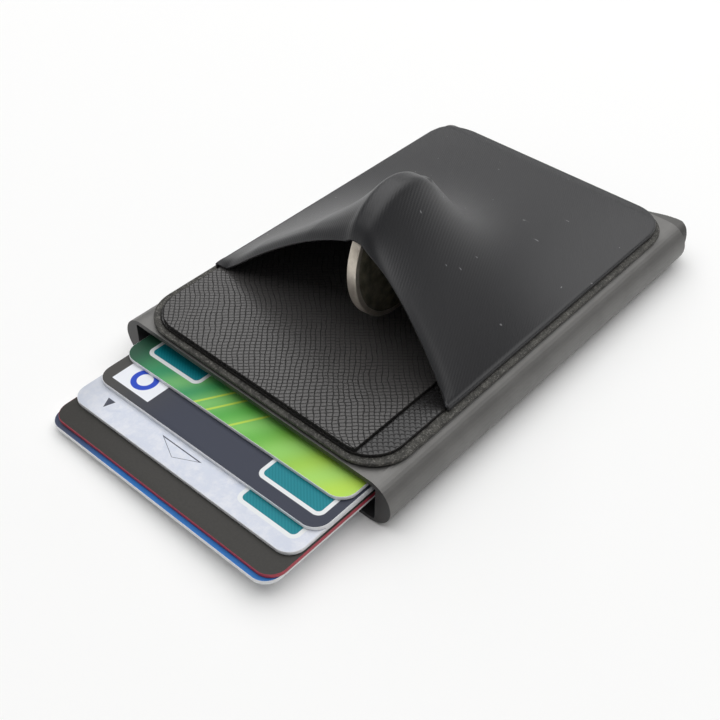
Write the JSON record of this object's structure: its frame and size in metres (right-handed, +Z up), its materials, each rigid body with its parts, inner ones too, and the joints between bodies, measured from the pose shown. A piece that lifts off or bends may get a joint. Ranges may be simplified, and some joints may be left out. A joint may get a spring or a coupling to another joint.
{
  "type": "minimalist wallet",
  "caption": "Slim metal card sleeve with a push-button card ejector, fanned-out cards and a leather pad whose stretch-cloth pocket is tented over a standing coin.",
  "frame": {"origin": "centre of the sleeve's flat underside", "axes": "+Y along the sleeve from its open end, where the cards come out, to its button end; +Z up through the leather pad; +X across, towards the button's corner"},
  "size_m": [0.0638, 0.1185, 0.0372],
  "materials": {
    "anodised_aluminium": "satin dark gunmetal anodised",
    "button_aluminium": "satin dark gunmetal anodised",
    "black_plastic": "moulded matte black",
    "bright_steel": "drawn bright steel",
    "felt": "short black pile",
    "card_blue": "satin laminated card, dark to mid blue",
    "card_brown": "satin laminated card, brown grey with a red core",
    "card_light": "satin laminated card, light blue grey",
    "card_slate": "satin laminated card, slate",
    "card_green": "satin laminated card, green",
    "adhesive": "dark double-sided film",
    "rim_board": "satin edge band, olive grey",
    "leather": "cross-grained dark leather",
    "coin_metal": "worn silvery rim and dark olive faces",
    "elastic_cloth": "fine black elastic twill"
  },
  "bodies": {
    "wallet": {"case_sleeve": "anodised_aluminium", "end_cap": "black_plastic", "lever_pin": "bright_steel", "return_spring": "bright_steel", "lower_brake_felt": "felt", "upper_brake_felt": "felt", "adhesive_film": "adhesive", "backing_board": "rim_board", "inner_leather": "leather", "outer_leather_panel": "leather", "coin": "coin_metal", "elastic_pocket": "elastic_cloth"},
    "push_button": {"push_button": "button_aluminium"},
    "ejector_lever": {"ejector_lever": "black_plastic"},
    "card_1": {"card_1": "card_blue"},
    "card_2": {"card_2": "card_brown"},
    "card_3": {"card_3": "card_light"},
    "card_4": {"card_4": "card_slate"},
    "card_5": {"card_5": "card_green"}
  },
  "joints": [
    {"name": "card_1_slide", "type": "slide", "parent": "wallet", "child": "card_1", "axis": [0, -1, 0], "range_m": [-0.0228, 0.0378]},
    {"name": "card_2_slide", "type": "slide", "parent": "wallet", "child": "card_2", "axis": [0, -1, 0], "range_m": [-0.0219, 0.0387]},
    {"name": "card_3_slide", "type": "slide", "parent": "wallet", "child": "card_3", "axis": [0, -1, 0], "range_m": [-0.0175, 0.0431]},
    {"name": "card_4_slide", "type": "slide", "parent": "wallet", "child": "card_4", "axis": [0, -1, 0], "range_m": [-0.012, 0.0486]},
    {"name": "card_5_slide", "type": "slide", "parent": "wallet", "child": "card_5", "axis": [0, -1, 0], "range_m": [-0.0054, 0.0552]},
    {"name": "button_slide", "type": "slide", "parent": "wallet", "child": "push_button", "axis": [0, -1, 0], "range_m": [0, 0.0032], "stiffness_N_per_m": 300, "springref_m": -0.001, "deforming": ["return_spring"]},
    {"name": "lever_swing", "type": "hinge", "parent": "wallet", "child": "ejector_lever", "pos_m": [0.024, 0.04215, 0.0046], "axis": [0, 0, 1], "range_deg": [0, 29.2]}
  ],
  "couplings": [
    {"joint": "lever_swing", "follows": "button_slide", "rad_per_m": 158.2}
  ]
}
